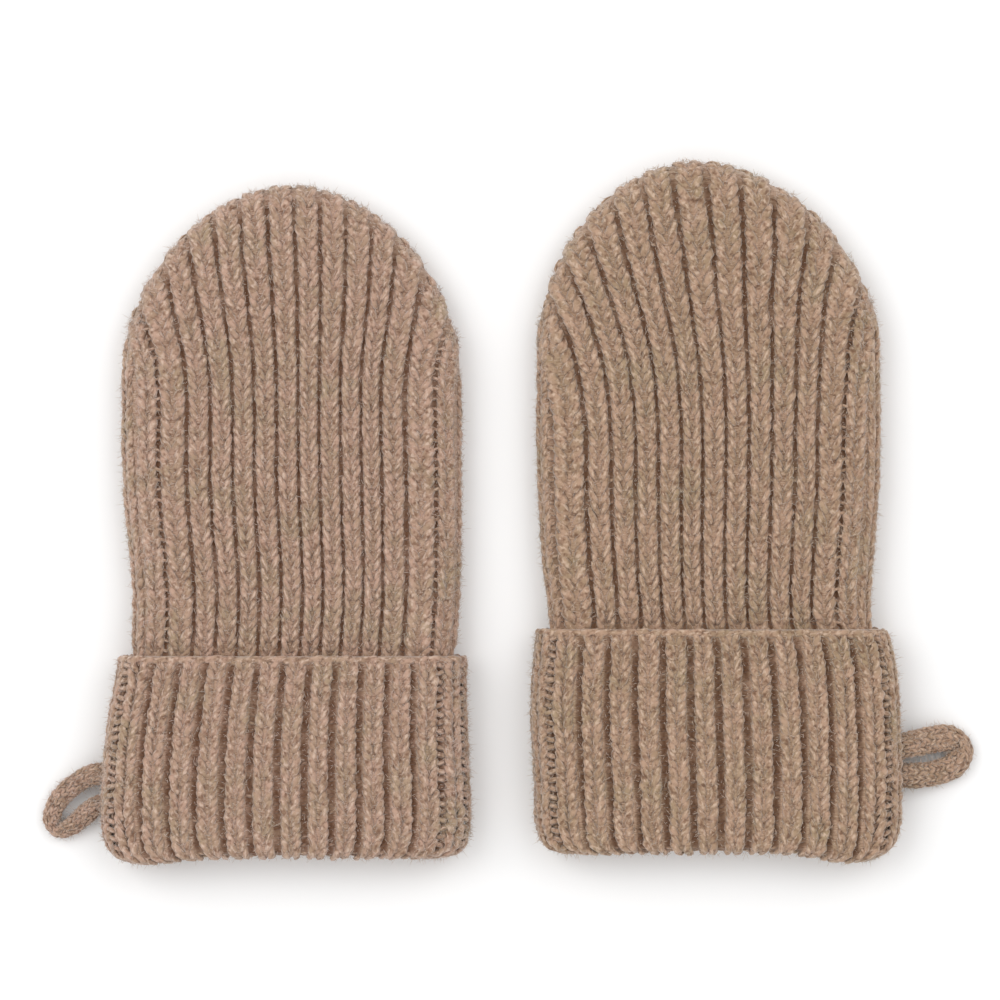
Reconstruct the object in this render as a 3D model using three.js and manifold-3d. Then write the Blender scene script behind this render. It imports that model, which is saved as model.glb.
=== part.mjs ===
// A pair of knitted baby mittens, lying flat side by side with the fingertips towards +Y.
// Each mitten is a ribbed tube closed in a dome, with its last stretch folded up as a cuff
// and a small knitted loop sewn into the outer side of that cuff.
// Millimetres, +X to the right, +Z up. The mittens rest on the plane z = 0.

import * as THREE from 'three';
import { mergeVertices } from 'three/addons/utils/BufferGeometryUtils.js';
import Module from 'manifold-3d';

const wasm = await Module();
wasm.setup();

// The knitted cloth
const CLOTH = 1.8; // wall at the bottom of a groove
const HAND_RIB = 1.2; // how far a rib of the hand stands above the grooves
const CUFF_RIB = 1.3; // the same on the cuff, whose ribs are wider
const HIDDEN_RIB = 0.15; // a rib pressed flat under the cuff
const SEAM_GAP = 0.3; // between pieces that are knitted or sewn together
const CUFF_SLACK = 0.45; // between the hand and the cuff turned up over it

// Heights of a mitten lying flat
const HAND_TOP = 10.3; // grooves of the upper panel, in the middle of the hand
const CUFF_TOP = 12.6; // grooves of the upper panel of the cuff
const HAND_SIDE = 4.8; // where the side of the hand reaches furthest out
const CUFF_SIDE = 6.3; // where the side of the cuff reaches furthest out
const LIFT = CLOTH + CUFF_SLACK; // the hand's underside where it lies on the cuff's underside
const LIFT_RUN = 13; // length over which the hand comes down from that height
const RISE_RUN = 3; // length over which its ribs rise as they come out of the cuff

// Roundness of the panels towards the outline
const EDGE_ROLL = 6; // run of the tight curve at the edge
const PANEL_ROLL = 22; // run of the slow curve over the whole panel
const EDGE_SHARE = 0.65; // share of the height that the tight curve makes
const UNDER_ROLL = 4; // run of the curve from the edge down to the surface
const DOME_POWER = 1.85; // 2 is an ellipse, less is more pointed
const DOME_RUN = 12; // how far below the dome its first ribs reach the outline

// The fold at the bottom of a cuff
const FOLD_DEPTH = 2.4; // how far the fold curves below the ends of the two layers
const LEG = 9.2; // height of the inner layer above the lowest point of the fold
const CORNER = 4.5; // how much narrower the cuff is at the fold itself
const CORNER_RUN = 8; // height over which its corners round away
const RIM = 0.8; // rounding of the upper edge of the cuff
const SAG_RUN = 8; // width of the dip in the fold near one corner
const FOLD_TURNS = [0, 40, 90, 140, 180]; // points around the fold, as degrees
const CUFF_ROWS = [7, 18, 32]; // rows of points of the cuff and the hand in it, below its edge

// The knitted cord of a loop
const LOOP_THICK = 3.6;
const LOOP_SIDES = 10;
const LOOP_STEPS = 30;

// Stitches of a rib, as places across it and the share of the relief there
const RIB_PROFILE = [
  { place: 0, rise: 0 },
  { place: 0.22, rise: 0.72 },
  { place: 0.5, rise: 1 },
  { place: 0.78, rise: 0.72 },
];
const EDGE_RISE = 0.6; // relief of the rib that runs along the outline
const EDGE_STEP = 0.7; // first column inside the outline
const PLAIN_COLUMNS = 16; // columns across a panel that has no ribs

// Rows of points, as distances back from the end of each column at the outline
const RIB_ROWS = [24, 16, 10, 6, 3.2, 1.4, 0.4, 0];
const HOLLOW_ROWS = [22, 12, 6, 2.5, 0.6, 0];
const FLAT_FROM = 12; // rows further back than this are left out on the flat of the underside

// Sections of each hand: y, middle of the outline, half its width, spread and lean of the ribs
const LEFT = {
  name: 'left',
  side: -1,
  tint: 0x9a8170,
  domeBase: 28.9,
  tip: 67.9,
  tipLean: 0,
  cuffEdge: -29.9,
  foldEnd: -72.6,
  sag: 1.2,
  sagAt: -76.3,
  cuffFirstGroove: -35.7,
  cuffPitch: 5.67,
  grooves: [-28, -21.9, -17, -12.3, -7.7, -3, 1.6, 6, 10.5, 14.8, 19, 24.1, 30.5],
  sections: [
    { y: -73, middle: -46.4, half: 35.4, spread: 1, lean: 0 },
    { y: -60, middle: -46.7, half: 35.5, spread: 1, lean: 0 },
    { y: -45, middle: -46.4, half: 34.6, spread: 1, lean: 0 },
    { y: -30, middle: -45.2, half: 33.3, spread: 1, lean: 0 },
    { y: -16, middle: -44.6, half: 33.6, spread: 1, lean: 0 },
    { y: 5, middle: -45.4, half: 34.7, spread: 1, lean: 0 },
    { y: 28.9, middle: -45.6, half: 34.9, spread: 1, lean: 0 },
    { y: 44.6, middle: -45.6, half: 34.9, spread: 1.12, lean: -0.4 },
    { y: 57, middle: -45.6, half: 34.9, spread: 1.2, lean: -1 },
    { y: 70, middle: -45.6, half: 34.9, spread: 1.21, lean: -1.7 },
  ],
  loop: [
    { x: -85.5, y: -54.9, z: 4.6, width: 5 },
    { x: -87.2, y: -55.1, z: 4, width: 4.8 },
    { x: -89.8, y: -56.3, z: 3.2, width: 4.5 },
    { x: -92.3, y: -58, z: 2.5, width: 4.4 },
    { x: -94.4, y: -60.1, z: 2, width: 4.3 },
    { x: -95.8, y: -62.6, z: 1.85, width: 4 },
    { x: -96.2, y: -65, z: 1.85, width: 3.7 },
    { x: -94.8, y: -66.9, z: 1.85, width: 3.5 },
    { x: -92.6, y: -66.3, z: 1.85, width: 3.9 },
    { x: -90.3, y: -64.7, z: 2.1, width: 4.4 },
    { x: -88.6, y: -63.1, z: 2.8, width: 4.4 },
    { x: -87.1, y: -61.9, z: 3.5, width: 4.2 },
    { x: -85.5, y: -61, z: 4.1, width: 4 },
  ],
};

const RIGHT = {
  name: 'right',
  side: 1,
  tint: 0x967c68,
  domeBase: 34.1,
  tip: 73,
  tipLean: -2.5,
  cuffEdge: -24.3,
  foldEnd: -71.6,
  sag: 1.9,
  sagAt: 71.3,
  cuffFirstGroove: -34.3,
  cuffPitch: 5.8,
  grooves: [-33, -25.8, -20.6, -15.5, -10.7, -5.9, -1.5, 3.4, 8.2, 13, 17.9, 22.5, 28.1],
  sections: [
    { y: -73, middle: 43.9, half: 35, spread: 1, lean: 0 },
    { y: -58, middle: 43.9, half: 35.3, spread: 1, lean: 0 },
    { y: -40, middle: 43.3, half: 35.5, spread: 1, lean: 0 },
    { y: -30, middle: 43.1, half: 34.6, spread: 1, lean: 0 },
    { y: -21, middle: 42.2, half: 33.1, spread: 1, lean: 0 },
    { y: -10, middle: 41.9, half: 34, spread: 1, lean: 0 },
    { y: 5.8, middle: 42, half: 35.1, spread: 1, lean: 0 },
    { y: 18, middle: 42, half: 35.3, spread: 1, lean: 0 },
    { y: 32, middle: 42, half: 35.2, spread: 1.06, lean: -0.7 },
    { y: 44.6, middle: 42, half: 35.2, spread: 1.18, lean: -2.4 },
    { y: 57, middle: 42, half: 35.2, spread: 1.35, lean: -3.9 },
    { y: 75, middle: 42, half: 35.2, spread: 1.46, lean: -6.2 },
  ],
  loop: [
    { x: 82.3, y: -49.3, z: 5, width: 5.2 },
    { x: 85.2, y: -48.6, z: 4.4, width: 5.7 },
    { x: 88.8, y: -47.9, z: 3, width: 5.8 },
    { x: 91.8, y: -47.5, z: 2.1, width: 5.8 },
    { x: 94.2, y: -48.2, z: 1.85, width: 5.5 },
    { x: 95.4, y: -50.3, z: 1.85, width: 5.3 },
    { x: 94.5, y: -52.7, z: 1.85, width: 5.3 },
    { x: 92, y: -54.2, z: 2, width: 5.5 },
    { x: 89, y: -55, z: 2.6, width: 5.5 },
    { x: 85.8, y: -55.3, z: 3.6, width: 5.5 },
    { x: 82.3, y: -55.2, z: 4.4, width: 5.2 },
  ],
};

// A value between the rows of a table, on a smooth curve through them
function follow(rows, y, key) {
  const last = rows.length - 1;
  if (y <= rows[0].y) return rows[0][key];
  if (y >= rows[last].y) return rows[last][key];
  const i = rows.findIndex((row, k) => y < rows[k + 1].y);
  const slope = (k) => {
    const before = rows[Math.max(k - 1, 0)];
    const after = rows[Math.min(k + 1, last)];
    return (after[key] - before[key]) / (after.y - before.y);
  };
  const run = rows[i + 1].y - rows[i].y;
  const t = (y - rows[i].y) / run;
  const rise = rows[i + 1][key] - rows[i][key];
  const bend = (slope(i) * run - rise) * (1 - t) - (slope(i + 1) * run - rise) * t;
  return rows[i][key] + rise * t + bend * t * (1 - t);
}

// A quarter of a circle: 0 at the outline, 1 from run onwards
function roll(inset, run) {
  const left = 1 - Math.min(Math.max(inset / run, 0), 1);
  return Math.sqrt(1 - left * left);
}

// Share of a panel's full height at an inset from the outline
function swell(inset) {
  return EDGE_SHARE * roll(inset, EDGE_ROLL) + (1 - EDGE_SHARE) * roll(inset, PANEL_ROLL);
}

// How far out a place on the hand lies: 1 on the outline, 0 in the middle of the dome
function reach(mitten, x, y, depth) {
  const up = Math.max(y - mitten.domeBase, 0) / (mitten.tip - mitten.domeBase - depth);
  const middle = follow(mitten.sections, y, 'middle') + mitten.tipLean * up * up;
  const across = Math.abs(x - middle) / (follow(mitten.sections, y, 'half') - depth);
  return Math.pow(across ** DOME_POWER + up ** DOME_POWER, 1 / DOME_POWER);
}

// Inset of a place from the outline, and the direction straight out of the outline
function outline(mitten, x, y, depth) {
  const step = 0.01;
  const gx = (reach(mitten, x + step, y, depth) - reach(mitten, x - step, y, depth)) / (2 * step);
  const gy = (reach(mitten, x, y + step, depth) - reach(mitten, x, y - step, depth)) / (2 * step);
  const steep = Math.max(Math.hypot(gx, gy), 1 / (2 * PANEL_ROLL));
  const inset = (1 - reach(mitten, x, y, depth)) / steep;
  return { inset: inset < 1e-3 ? 0 : inset, out: new THREE.Vector2(gx, gy).normalize() };
}

// Where a column of stitches lies at height y; across is its place in the middle of the hand
function columnAt(mitten, across, y) {
  const rows = mitten.sections;
  const scale = follow(rows, y, 'half') / follow(rows, mitten.domeBase, 'half');
  const offset = follow(rows, y, 'spread') * across * scale + follow(rows, y, 'lean');
  return follow(rows, y, 'middle') + offset;
}

// Where a column runs off over the edge of the dome
function columnEnd(mitten, across, depth) {
  let low = mitten.domeBase - DOME_RUN;
  let high = mitten.tip - depth;
  for (let pass = 0; pass < 40; pass += 1) {
    const y = (low + high) / 2;
    if (reach(mitten, columnAt(mitten, across, y), y, depth) < 1) low = y;
    else high = y;
  }
  return (low + high) / 2;
}

// How far the hand is lifted by the cuff's underside: 1 under the cuff, 0 further up
function lifted(mitten, y) {
  return 1 - THREE.MathUtils.smoothstep(y, mitten.cuffEdge, mitten.cuffEdge + LIFT_RUN);
}

// A point of the hand, depth inside its grooved surface, on its upper or under panel
function handPoint(mitten, across, y, depth, rise, upper) {
  const half = follow(mitten.sections, mitten.domeBase, 'half');
  const onEdge = Math.abs(across) >= half - 1e-6;
  const edgeX = follow(mitten.sections, y, 'middle')
    + Math.sign(across) * (follow(mitten.sections, y, 'half') - depth);
  const x = onEdge ? edgeX : columnAt(mitten, across * (half - depth) / half, y);
  const { inset, out } = outline(mitten, x, y, depth);
  const share = lifted(mitten, y);
  const side = THREE.MathUtils.lerp(HAND_SIDE, CUFF_SIDE, share);
  const top = THREE.MathUtils.lerp(HAND_TOP, CUFF_TOP - CLOTH - CUFF_SLACK, share) - depth;
  const floor = LIFT * share + depth;
  const free = THREE.MathUtils.smoothstep(y, mitten.cuffEdge + SEAM_GAP, mitten.cuffEdge + RISE_RUN);
  const relief = rise * THREE.MathUtils.lerp(HIDDEN_RIB, HAND_RIB, free);
  const level = Math.max(1 - inset / EDGE_ROLL, 0);
  if (upper) {
    const z = side + (top - side) * swell(inset);
    const tilt = Math.sqrt(1 - level * level);
    return new THREE.Vector3(x + out.x * level * relief, y + out.y * level * relief, z + tilt * relief);
  }
  const z = side + (floor - side) * roll(inset, UNDER_ROLL);
  const fade = Math.max(1 - inset / UNDER_ROLL, 0) * relief;
  return new THREE.Vector3(x + out.x * fade, y + out.y * fade, z);
}

// Triangles between two chains of points that run side by side, whatever their counts
function weave(triangles, a, b) {
  if (a.length === b.length) {
    for (let k = 0; k < a.length - 1; k += 1) {
      triangles.push(a[k], b[k], b[k + 1], a[k], b[k + 1], a[k + 1]);
    }
    return;
  }
  let i = 0;
  let j = 0;
  while (i < a.length - 1 || j < b.length - 1) {
    const aheadA = i < a.length - 1 ? a[i + 1].y : Infinity;
    const aheadB = j < b.length - 1 ? b[j + 1].y : Infinity;
    if (aheadA <= aheadB) {
      triangles.push(a[i], b[j], a[i + 1]);
      i += 1;
    } else {
      triangles.push(a[i], b[j], b[j + 1]);
      j += 1;
    }
  }
}

// A closed mesh from a list of corner points, three for each triangle
function closedMesh(triangles) {
  const geometry = new THREE.BufferGeometry();
  geometry.setFromPoints(triangles);
  const welded = mergeVertices(geometry, 1e-4);
  const index = welded.index.array;
  const kept = [];
  for (let t = 0; t < index.length; t += 3) {
    const [a, b, c] = [index[t], index[t + 1], index[t + 2]];
    if (a !== b && b !== c && c !== a) kept.push(a, b, c);
  }
  welded.setIndex(kept);
  return welded;
}

function toSolid(geometry) {
  return new wasm.Manifold(new wasm.Mesh({
    numProp: 3,
    vertProperties: new Float32Array(geometry.attributes.position.array),
    triVerts: new Uint32Array(geometry.index.array),
  }));
}

function fromSolid(solid) {
  const mesh = solid.getMesh();
  const geometry = new THREE.BufferGeometry();
  geometry.setAttribute('position', new THREE.BufferAttribute(new Float32Array(mesh.vertProperties), 3));
  geometry.setIndex(new THREE.BufferAttribute(new Uint32Array(mesh.triVerts), 1));
  return geometry;
}

// Columns of stitches across a panel, edge to edge, with the relief that each carries
function ribColumns(grooves, half) {
  const bounds = [-half, ...grooves, half];
  const columns = [-half, -half + EDGE_STEP].map((across) => ({ across, rise: EDGE_RISE }));
  for (let i = 0; i < bounds.length - 1; i += 1) {
    const width = bounds[i + 1] - bounds[i];
    for (const { place, rise } of RIB_PROFILE) {
      if (i === 0 && place < 0.5) continue;
      if (i === bounds.length - 2 && place > 0.5) continue;
      columns.push({ across: bounds[i] + place * width, rise });
    }
  }
  for (const across of [half - EDGE_STEP, half]) columns.push({ across, rise: EDGE_RISE });
  return columns;
}

// Columns across a plain panel, closer together towards its edges
function plainColumns(half, first, last) {
  const columns = [];
  for (let i = first; i <= last; i += 1) {
    columns.push({ across: -half * Math.cos((i / PLAIN_COLUMNS) * Math.PI), rise: 0 });
  }
  return columns;
}

// A pillow of two panels that share their sides and the edge of the dome, cut off at the mouth
function pillow(mitten, columns, depth, lowRows, endRows) {
  const panel = (upper) => columns.map(({ across, rise }) => {
    const onEdge = across === columns[0].across || across === columns[columns.length - 1].across;
    const end = onEdge ? mitten.domeBase - DOME_RUN : columnEnd(mitten, across, depth);
    const ending = upper || onEdge ? endRows : endRows.filter((back) => back <= FLAT_FROM);
    const heights = [...lowRows, ...ending.map((back) => end - back)];
    return heights.map((y) => handPoint(mitten, across, y, depth, rise, upper || y === end));
  });
  const triangles = [];
  const over = panel(true);
  const under = panel(false);
  for (let i = 0; i < columns.length - 1; i += 1) {
    weave(triangles, over[i], over[i + 1]);
    weave(triangles, under[i + 1], under[i]);
    triangles.push(under[i][0], under[i + 1][0], over[i + 1][0]);
    triangles.push(under[i][0], over[i + 1][0], over[i][0]);
  }
  return toSolid(closedMesh(triangles));
}

// The hand: a ribbed pillow less its plain hollow, which runs out at the mouth
function handGeometry(mitten) {
  const half = follow(mitten.sections, mitten.domeBase, 'half');
  const mouth = mitten.foldEnd + LEG + SEAM_GAP;
  const edge = mitten.cuffEdge;
  const covered = [...CUFF_ROWS].reverse().map((below) => edge - below);
  const cloth = pillow(
    mitten,
    ribColumns(mitten.grooves, half),
    0,
    [mouth, ...covered, edge + SEAM_GAP, edge + RISE_RUN, edge + LIFT_RUN],
    RIB_ROWS,
  );
  const hollow = pillow(
    mitten,
    plainColumns(half, 0, PLAIN_COLUMNS),
    CLOTH,
    [mouth - CLOTH, edge, edge + LIFT_RUN / 3, edge + 2 * LIFT_RUN / 3, edge + LIFT_RUN],
    HOLLOW_ROWS,
  );
  return fromSolid(cloth.subtract(hollow));
}

// A point of the cuff, depth inside its grooved surface
function cuffPoint(mitten, across, y, depth, upper) {
  const full = cuffWidest(mitten);
  const half = cuffHalf(mitten, y) - depth;
  const offset = across * half / full;
  const inset = half - Math.abs(offset);
  const height = upper
    ? CUFF_SIDE + (CUFF_TOP - depth - CUFF_SIDE) * swell(inset)
    : CUFF_SIDE + (depth - CUFF_SIDE) * roll(inset, UNDER_ROLL + CUFF_SIDE - HAND_SIDE);
  return new THREE.Vector3(follow(mitten.sections, y, 'middle') + offset, y, height);
}

function cuffHalf(mitten, y) {
  const rounded = CORNER * (1 - roll(y - mitten.foldEnd, CORNER_RUN));
  return follow(mitten.sections, y, 'half') + LIFT - rounded;
}

// Half the width of the cuff at its loop, where its columns are measured
function cuffWidest(mitten) {
  return cuffHalf(mitten, mitten.loop[0].y);
}

// The folded section of the cuff along one column, as heights and depths, in order around it
function cuffSection(mitten, across, rise) {
  const middle = follow(mitten.sections, mitten.foldEnd, 'middle');
  const dip = mitten.sag * Math.exp(-(((middle + across - mitten.sagAt) / SAG_RUN) ** 2));
  const fold = mitten.foldEnd - dip;
  const edge = mitten.cuffEdge;
  const relief = rise * CUFF_RIB;
  const inner = 2 * CLOTH + CUFF_SLACK;
  const legTop = mitten.foldEnd + LEG;
  const section = [{ y: edge - RIM, depth: -relief }];
  for (const below of CUFF_ROWS) section.push({ y: mitten.cuffEdge - below, depth: -relief });
  for (const turn of FOLD_TURNS) {
    const angle = THREE.MathUtils.degToRad(turn);
    section.push({
      y: fold + FOLD_DEPTH * (1 - Math.sin(angle)),
      depth: (inner - relief) / 2 - ((inner + relief) / 2) * Math.cos(angle),
    });
  }
  section.push({ y: legTop, depth: inner });
  section.push({ y: legTop, depth: CLOTH });
  for (const below of [...CUFF_ROWS].reverse()) {
    section.push({ y: mitten.cuffEdge - below, depth: CLOTH });
  }
  section.push({ y: edge - RIM, depth: CLOTH });
  section.push({ y: edge, depth: (CLOTH - relief) / 2 });
  return section;
}

// The cuff: its folded section carried once around the mouth
function cuffGeometry(mitten) {
  const full = cuffWidest(mitten);
  const grooves = [];
  for (let at = mitten.cuffFirstGroove; at < full - 2; at += mitten.cuffPitch) grooves.push(at);
  const over = ribColumns(grooves, full).map((column) => ({ ...column, upper: true }));
  const under = plainColumns(full, 1, PLAIN_COLUMNS - 1).reverse().map(({ across }) => (
    { across, rise: EDGE_RISE * (1 - roll(full - Math.abs(across), UNDER_ROLL)), upper: false }
  ));
  const rings = [...over, ...under].map(({ across, rise, upper }) => (
    cuffSection(mitten, across, rise).map(({ y, depth }) => cuffPoint(mitten, across, y, depth, upper))
  ));
  const triangles = [];
  rings.forEach((ring, i) => {
    const next = rings[(i + 1) % rings.length];
    ring.forEach((point, k) => {
      const l = (k + 1) % ring.length;
      triangles.push(point, ring[l], next[l], point, next[l], next[k]);
    });
  });
  return closedMesh(triangles);
}

// Where the ends of a loop meet the side of the cuff
function rootX(mitten, y) {
  const out = cuffHalf(mitten, y) + EDGE_RISE * CUFF_RIB + SEAM_GAP;
  return follow(mitten.sections, y, 'middle') + mitten.side * out;
}

// The loop: a flattened cord along a level path, with both ends at the side of the cuff
function loopGeometry(mitten) {
  const last = mitten.loop.length - 1;
  const path = new THREE.CatmullRomCurve3(
    mitten.loop.map(({ x, y, z }, k) => {
      const sewn = k === 0 || k === last;
      return new THREE.Vector3(sewn ? rootX(mitten, y) : x, y, z);
    }),
    false,
    'centripetal',
  );
  const rings = [];
  for (let i = 0; i <= LOOP_STEPS; i += 1) {
    const t = i / LOOP_STEPS;
    const at = t * last;
    const row = Math.min(Math.floor(at), last - 1);
    const width = THREE.MathUtils.lerp(mitten.loop[row].width, mitten.loop[row + 1].width, at - row);
    const along = path.getTangent(t);
    const sewn = i === 0 || i === LOOP_STEPS;
    if (sewn) along.set(Math.sign(along.x), 0, 0);
    const sideways = new THREE.Vector3(-along.y, along.x, 0).normalize();
    const upwards = new THREE.Vector3(0, 0, 1);
    const centre = path.getPoint(t);
    rings.push(Array.from({ length: LOOP_SIDES }, (_, k) => {
      const angle = ((k + 0.5) / LOOP_SIDES) * 2 * Math.PI;
      const point = centre.clone()
        .addScaledVector(sideways, Math.cos(angle) * width / 2)
        .addScaledVector(upwards, Math.sin(angle) * LOOP_THICK / 2);
      if (sewn) point.x = rootX(mitten, point.y);
      return point;
    }));
  }
  const triangles = [];
  for (let i = 0; i < LOOP_STEPS; i += 1) {
    for (let k = 0; k < LOOP_SIDES; k += 1) {
      const l = (k + 1) % LOOP_SIDES;
      triangles.push(rings[i][k], rings[i][l], rings[i + 1][l]);
      triangles.push(rings[i][k], rings[i + 1][l], rings[i + 1][k]);
    }
  }
  const start = rings[0];
  const end = rings[LOOP_STEPS];
  for (let k = 1; k < LOOP_SIDES - 1; k += 1) {
    triangles.push(start[0], start[k + 1], start[k], end[0], end[k], end[k + 1]);
  }
  return closedMesh(triangles);
}

function wool(tint) {
  return new THREE.MeshStandardMaterial({ color: tint, roughness: 0.95, metalness: 0 });
}

function piece(name, geometry, tint) {
  geometry.computeVertexNormals();
  const mesh = new THREE.Mesh(geometry, wool(tint));
  mesh.name = name;
  return mesh;
}

const group = new THREE.Group();
for (const mitten of [LEFT, RIGHT]) {
  const set = new THREE.Group();
  set.add(piece(`${mitten.name}_hand`, handGeometry(mitten), mitten.tint));
  set.add(piece(`${mitten.name}_cuff`, cuffGeometry(mitten), mitten.tint));
  set.add(piece(`${mitten.name}_loop`, loopGeometry(mitten), mitten.tint));
  group.add(set);
}

// The origin is under the middle of the pair
const middle = new THREE.Box3().setFromObject(group).getCenter(new THREE.Vector3());
group.position.set(-middle.x, -middle.y, 0);

export default group;
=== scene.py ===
import math
import bpy
import numpy as np
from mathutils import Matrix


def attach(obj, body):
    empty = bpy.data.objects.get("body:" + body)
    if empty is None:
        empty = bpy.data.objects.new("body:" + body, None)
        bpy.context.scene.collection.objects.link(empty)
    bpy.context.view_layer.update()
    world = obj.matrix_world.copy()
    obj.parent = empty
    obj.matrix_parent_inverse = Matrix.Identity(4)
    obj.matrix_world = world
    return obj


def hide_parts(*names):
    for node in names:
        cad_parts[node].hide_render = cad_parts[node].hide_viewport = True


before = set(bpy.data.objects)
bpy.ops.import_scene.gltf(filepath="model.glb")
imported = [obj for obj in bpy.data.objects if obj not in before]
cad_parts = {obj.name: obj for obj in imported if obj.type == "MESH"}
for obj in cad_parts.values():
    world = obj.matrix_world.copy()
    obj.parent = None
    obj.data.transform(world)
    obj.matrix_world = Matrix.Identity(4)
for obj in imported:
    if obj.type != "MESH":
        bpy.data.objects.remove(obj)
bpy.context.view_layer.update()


# The table that the pair lies on, the soft light over it and the camera straight above,
# as a shop photographs clothes laid flat.
VIEW_WIDTH = 0.210      # width of the photograph, on the level of the mittens' sides
VIEW_MIDDLE = (-0.00174, 0.00248)
VIEW_LEVEL = 0.0055
LENS = 180.0
SENSOR = 36.0

camera_data = bpy.data.cameras.new("camera")
camera_data.lens = LENS
camera_data.sensor_width = SENSOR
camera_data.clip_start = 0.01
camera_data.clip_end = 20.0
camera = bpy.data.objects.new("camera", camera_data)
camera.location = (*VIEW_MIDDLE, VIEW_LEVEL + VIEW_WIDTH * LENS / SENSOR)
bpy.context.collection.objects.link(camera)
bpy.context.scene.camera = camera

table_mesh = bpy.data.meshes.new("table")
table_mesh.from_pydata(
    [(-1.5, -1.5, 0), (1.5, -1.5, 0), (1.5, 1.5, 0), (-1.5, 1.5, 0)], [], [(0, 1, 2, 3)]
)
table = bpy.data.objects.new("table", table_mesh)
bpy.context.collection.objects.link(table)

white = bpy.data.materials.new("white_card")
white.use_nodes = True
paint = white.node_tree.nodes["Principled BSDF"]
paint.inputs["Base Color"].default_value = (0.92, 0.92, 0.92, 1)
paint.inputs["Roughness"].default_value = 0.9
table_mesh.materials.append(white)


def soft_light(name, place, size, power):
    """A square lamp that faces the middle of the table."""
    lamp_data = bpy.data.lights.new(name, "AREA")
    lamp_data.size = size
    lamp_data.energy = power
    lamp = bpy.data.objects.new(name, lamp_data)
    lamp.location = place
    lamp.rotation_euler = (-lamp.location).to_track_quat("-Z", "Y").to_euler()
    bpy.context.collection.objects.link(lamp)


soft_light("lamp_left", (-1.0, 0.5, 1.4), 1.2, 10)
soft_light("lamp_right", (0.9, 0.7, 1.5), 1.2, 6.5)

world = bpy.data.worlds.new("room")
world.use_nodes = True
sky = world.node_tree.nodes["Background"]
sky.inputs["Color"].default_value = (1, 1, 1, 1)
sky.inputs["Strength"].default_value = 0.88
bpy.context.scene.world = world
bpy.context.scene.view_settings.view_transform = "Standard"


# The left hand: a tube of one-by-one rib in mottled wool, closed in a dome at the fingertips.
# It is knitted in the round. The purl columns draw back into dark grooves, so that only the
# knit columns show, each of two slanting legs to a row.
CLOTH = 1.8             # millimetres, as all sizes of the mittens below
SEAM_GAP = 0.3
CUFF_SLACK = 0.45
HAND_TOP = 10.3
CUFF_TOP = 12.6
HAND_SIDE = 4.8
CUFF_SIDE = 6.3
LIFT = CLOTH + CUFF_SLACK
LIFT_RUN = 13
RISE_RUN = 3
EDGE_ROLL = 6
PANEL_ROLL = 22
EDGE_SHARE = 0.65
UNDER_ROLL = 4
DOME_POWER = 1.85
LEG = 9.2
UNDER_KNIT = 1.1        # room for the stitches of the underside above the table
HIDDEN_KNIT = 0.1       # share of their height that stitches keep under the cuff
MIDDLE_SHIFT = (0.048, -0.142)
ON_TABLE = 0.02

LEFT = {
    "side": -1, "dome_base": 28.9, "tip": 67.9, "tip_lean": 0.0,
    "cuff_edge": -29.9, "fold_end": -72.6, "sag": 1.2, "sag_at": -76.3,
    "cuff_first": -35.7, "cuff_pitch": 5.67,
    "grooves": [-28, -21.9, -17, -12.3, -7.7, -3, 1.6, 6, 10.5, 14.8, 19, 24.1, 30.5],
    # y, middle, half width, spread and lean of the ribs
    "sections": np.array([
        (-73, -46.4, 35.4, 1, 0), (-60, -46.7, 35.5, 1, 0), (-45, -46.4, 34.6, 1, 0),
        (-30, -45.2, 33.3, 1, 0), (-16, -44.6, 33.6, 1, 0), (5, -45.4, 34.7, 1, 0),
        (28.9, -45.6, 34.9, 1, 0), (44.6, -45.6, 34.9, 1.12, -0.4),
        (57, -45.6, 34.9, 1.2, -1), (70, -45.6, 34.9, 1.21, -1.7),
    ]),
    # x, y, z and width of the loop
    "loop": np.array([
        (-85.5, -54.9, 4.6, 5), (-87.2, -55.1, 4, 4.8), (-89.8, -56.3, 3.2, 4.5),
        (-92.3, -58, 2.5, 4.4), (-94.4, -60.1, 2, 4.3), (-95.8, -62.6, 1.85, 4),
        (-96.2, -65, 1.85, 3.7), (-94.8, -66.9, 1.85, 3.5), (-92.6, -66.3, 1.85, 3.9),
        (-90.3, -64.7, 2.1, 4.4), (-88.6, -63.1, 2.8, 4.4), (-87.1, -61.9, 3.5, 4.2),
        (-85.5, -61, 4.1, 4),
    ]),
    "crease": (-95.4, -66.1),
    "hand_row": 2.1, "cuff_row": 1.7, "seed": 11,
}
MIDDLE, HALF, SPREAD, LEAN = 1, 2, 3, 4


def between(knots, values, slopes, at):
    """Values at places between knots, on a curve with the given slopes at the knots."""
    i = np.clip(np.searchsorted(knots, at, side="right") - 1, 0, len(knots) - 2)
    run = knots[i + 1] - knots[i]
    t = (at - knots[i]) / run
    if values.ndim > 1:
        run, t = run[:, None], t[:, None]
    rise = values[i + 1] - values[i]
    bend = (slopes[i] * run - rise) * (1 - t) - (slopes[i + 1] * run - rise) * t
    return values[i] + rise * t + bend * t * (1 - t)


def follow(mitten, key, y):
    """A column of the mitten's table of sections at height y, on a smooth curve."""
    ys = mitten["sections"][:, 0]
    values = mitten["sections"][:, key]
    slopes = np.empty(len(ys))
    slopes[1:-1] = (values[2:] - values[:-2]) / (ys[2:] - ys[:-2])
    slopes[0] = (values[1] - values[0]) / (ys[1] - ys[0])
    slopes[-1] = (values[-1] - values[-2]) / (ys[-1] - ys[-2])
    return between(ys, values, slopes, np.clip(y, ys[0], ys[-1]))


def roll(inset, run):
    """A quarter of a circle: 0 at the outline, 1 from run onwards."""
    left = 1 - np.clip(inset / run, 0, 1)
    return np.sqrt(1 - left * left)


def swell(inset):
    return EDGE_SHARE * roll(inset, EDGE_ROLL) + (1 - EDGE_SHARE) * roll(inset, PANEL_ROLL)


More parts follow.
